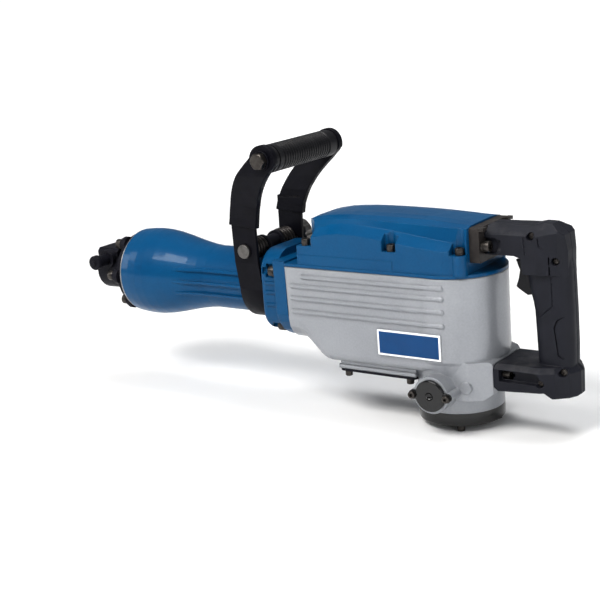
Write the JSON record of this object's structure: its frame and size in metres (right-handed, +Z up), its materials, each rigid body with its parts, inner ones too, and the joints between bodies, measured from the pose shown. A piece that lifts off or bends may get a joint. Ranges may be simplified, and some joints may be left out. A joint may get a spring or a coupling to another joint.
{
  "type": "electric demolition hammer",
  "caption": "Electric demolition hammer: bell-shaped barrel with hex tool socket, cast crank and motor housing, rear D-handle with trigger, swivelling side handle.",
  "frame": {"origin": "centre of the mouth of the hexagonal tool socket, on the hammer axis", "axes": "+X back along the hammer axis to the rear handle, +Z up towards the top cover, -Y is the operator's left with the blank name plate"},
  "size_m": [0.6885, 0.1633, 0.3287],
  "materials": {
    "black_cast": "satin black",
    "blue_paint": "gloss",
    "silver_paint": "gloss",
    "fastener": "dark zinc",
    "steel": "ground",
    "bracket_steel": "dark satin",
    "strap_steel": "satin black",
    "spring_steel": "dark",
    "handle_plastic": "moulded",
    "black_plastic": "moulded",
    "gloss_black": "gloss",
    "rubber": "soft",
    "gasket": "matte",
    "copper": "bare",
    "lamination": "stacked",
    "carbon": "sintered",
    "plate_blue": "blank plate"
  },
  "bodies": {
    "housing": {"nose_housing": "black_cast", "nose_seal": "steel", "barrel_bolts": "fastener", "lock_spring": "spring_steel", "barrel_case": "blue_paint", "guide_bushes": "steel", "damper_ring": "rubber", "guide_cylinder": "steel", "cylinder_seals": "rubber", "ball_bearings": "steel", "stator_core": "lamination", "field_coils": "copper", "bearing_plate": "silver_paint", "brush_holders": "black_plastic", "carbon_brushes": "carbon", "brush_springs": "spring_steel", "brush_caps": "gloss_black", "brush_cap_screws": "fastener", "end_ring": "gloss_black", "lower_screws": "fastener", "main_casting": "silver_paint", "bottom_plate": "black_cast", "top_cover": "blue_paint", "casing_gaskets": "gasket", "cover_bolts": "fastener", "name_plate": "plate_blue", "handle_bracket": "bracket_steel", "handle_bolts": "fastener", "handle_left": "handle_plastic", "handle_right": "handle_plastic", "handle_screws": "fastener", "trigger_pin": "steel", "trigger_switch": "black_plastic", "cable_bush": "rubber"},
    "lock_carrier": {"lock_washer": "steel"},
    "lock_bolt": {"lock_bolt": "black_cast"},
    "impact_bolt": {"impact_bolt": "steel"},
    "striker": {"striker": "steel"},
    "piston": {"piston": "steel"},
    "con_rod": {"connecting_rod": "steel", "rod_bearing": "steel", "wrist_pin": "steel"},
    "crank": {"crankshaft": "steel", "crank_gear": "steel"},
    "intermediate": {"intermediate_shaft": "steel"},
    "armature": {"armature_shaft": "steel", "armature_core": "lamination", "commutator": "copper", "fan": "black_plastic"},
    "trigger": {"trigger": "black_plastic"},
    "side_handle": {"clamp_band": "strap_steel", "arm_left": "strap_steel", "arm_right": "strap_steel", "grip_sleeve": "black_plastic", "grip_bolt": "fastener", "grip_washers": "strap_steel", "clamp_bolt": "fastener", "clamp_springs": "spring_steel", "clamp_saddle": "black_cast"},
    "clamp_knob": {"clamp_knob": "bracket_steel"}
  },
  "joints": [
    {"name": "lock_pull", "type": "slide", "parent": "housing", "child": "lock_carrier", "axis": [0, -1, 0], "range_m": [0, 0.0095], "stiffness_N_per_m": 900, "springref_m": -0.004, "deforming": ["lock_spring"]},
    {"name": "lock_turn", "type": "hinge", "parent": "lock_carrier", "child": "lock_bolt", "pos_m": [0.022, 0, 0.017], "axis": [0, 1, 0], "range_deg": [0, 180]},
    {"name": "impact_bolt_slide", "type": "slide", "parent": "housing", "child": "impact_bolt", "axis": [-1, 0, 0], "range_m": [0, 0.014]},
    {"name": "striker_slide", "type": "slide", "parent": "housing", "child": "striker", "axis": [1, 0, 0], "range_m": [0, 0.025]},
    {"name": "piston_slide", "type": "slide", "parent": "housing", "child": "piston", "axis": [-1, 0, 0], "range_m": [0, 0.026]},
    {"name": "armature_spin", "type": "hinge", "parent": "housing", "child": "armature", "pos_m": [0.538, 0, 0], "axis": [0, 0, 1], "continuous": true},
    {"name": "intermediate_spin", "type": "hinge", "parent": "housing", "child": "intermediate", "pos_m": [0.5005, 0, 0], "axis": [0, 0, 1], "continuous": true},
    {"name": "crank_spin", "type": "hinge", "parent": "housing", "child": "crank", "pos_m": [0.4485, 0, 0], "axis": [0, 0, 1], "continuous": true},
    {"name": "rod_swing", "type": "hinge", "parent": "crank", "child": "con_rod", "pos_m": [0.4615, 0, 0], "axis": [0, 0, 1], "continuous": true},
    {"name": "trigger_pull", "type": "hinge", "parent": "housing", "child": "trigger", "pos_m": [0.6365, 0, 0.0475], "axis": [0, -1, 0], "range_deg": [0, 8], "stiffness_Nm_per_rad": 0.6, "springref_deg": -8.59},
    {"name": "side_handle_swivel", "type": "hinge", "parent": "housing", "child": "side_handle", "pos_m": [0.276, 0, 0], "axis": [1, 0, 0], "continuous": true},
    {"name": "clamp_knob_turn", "type": "hinge", "parent": "side_handle", "child": "clamp_knob", "pos_m": [0.276, 0, 0.049], "axis": [0, 1, 0], "continuous": true}
  ],
  "couplings": [
    {"joint": "intermediate_spin", "follows": "armature_spin", "ratio": -0.25},
    {"joint": "crank_spin", "follows": "armature_spin", "ratio": 0.083333},
    {"joint": "rod_swing", "follows": "armature_spin", "ratio": -0.083333}
  ]
}
